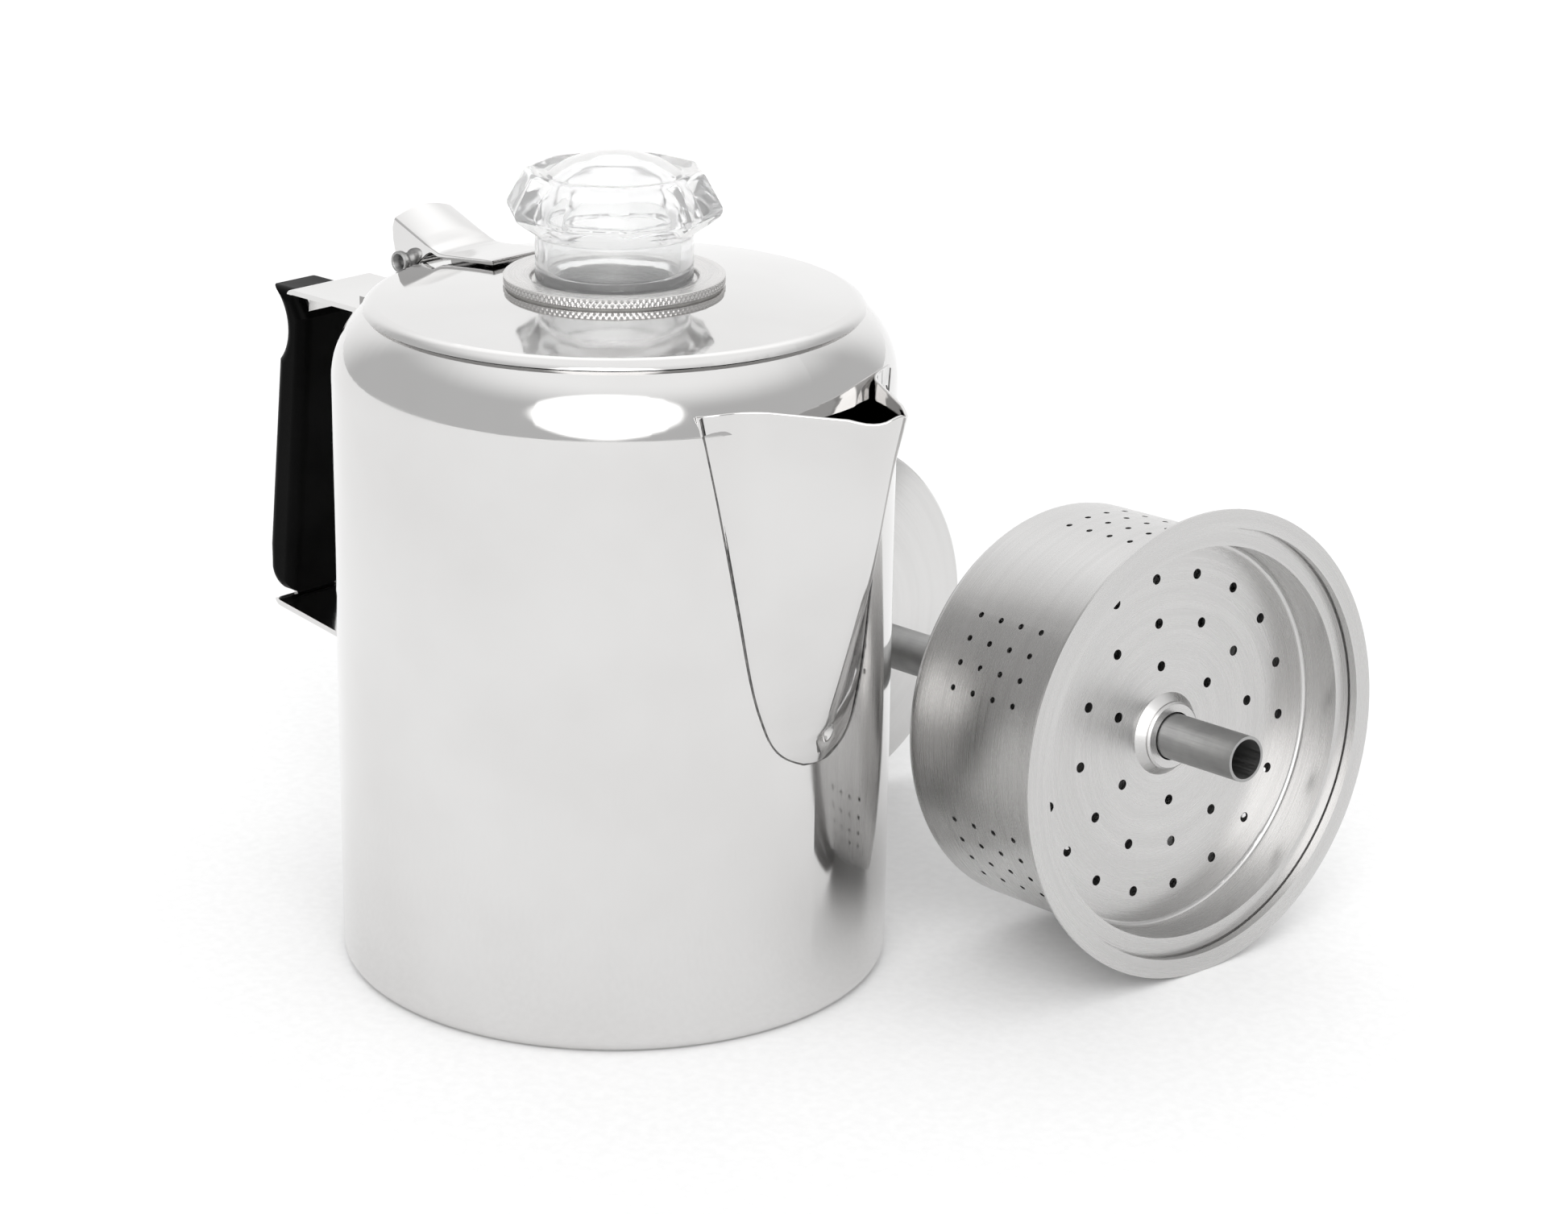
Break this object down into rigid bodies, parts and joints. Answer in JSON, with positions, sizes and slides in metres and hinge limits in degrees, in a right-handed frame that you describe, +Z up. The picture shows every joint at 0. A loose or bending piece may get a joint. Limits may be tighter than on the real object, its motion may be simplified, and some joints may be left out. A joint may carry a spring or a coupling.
{
  "type": "coffee percolator",
  "caption": "Polished steel camping percolator with side handle, V spout, hinged lid and clear knob, with its pump tube and perforated basket lying beside it.",
  "frame": {"origin": "centre of the pot's base, on the surface it stands on", "axes": "+Z up, +X towards the spout, -X towards the handle; the loose pump and basket lie on the +Y side"},
  "size_m": [0.23, 0.2083, 0.1856],
  "materials": {
    "polished_steel": "mirror polished",
    "satin_steel": "satin",
    "brushed_steel": "brushed",
    "grey_tube": "matt",
    "black_plastic": "semi-gloss",
    "clear_plastic": "clear",
    "seal": "matt"
  },
  "bodies": {
    "pot": {"pot_body": "polished_steel", "spout": "polished_steel", "handle_strap": "polished_steel", "handle_grip": "black_plastic", "hinge_knuckle": "polished_steel", "hinge_pin": "polished_steel"},
    "lid": {"lid_plate": "polished_steel", "lid_hinge_bracket": "polished_steel", "knob_ring": "satin_steel", "knob_gasket": "seal", "knob_nut": "satin_steel"},
    "knob": {"knob": "clear_plastic"},
    "pump": {"pump_foot": "brushed_steel", "pump_tube": "grey_tube", "basket_stop": "brushed_steel"},
    "basket": {"basket_shell": "brushed_steel", "basket_collar": "brushed_steel"},
    "spreader": {"spreader_plate": "brushed_steel", "spreader_ferrule": "brushed_steel"}
  },
  "joints": [
    {"name": "lid_hinge", "type": "hinge", "parent": "pot", "child": "lid", "pos_m": [-0.0587, 0, 0.1526], "axis": [0, -1, 0], "range_deg": [0, 110]},
    {"name": "knob_twist", "type": "hinge", "parent": "lid", "child": "knob", "pos_m": [0, 0, 0.1565], "axis": [0, 0, 1], "range_deg": [0, 60]},
    {"name": "pump_lift", "type": "slide", "parent": "pot", "child": "pump", "axis": [0, 0, 1], "range_m": [0, 0.12]},
    {"name": "basket_slide", "type": "slide", "parent": "pump", "child": "basket", "axis": [0.9913, -0.1182, 0.0573], "range_m": [0, 0.065]},
    {"name": "spreader_slide", "type": "slide", "parent": "basket", "child": "spreader", "axis": [0.9913, -0.1182, 0.0573], "range_m": [0, 0.03]}
  ]
}
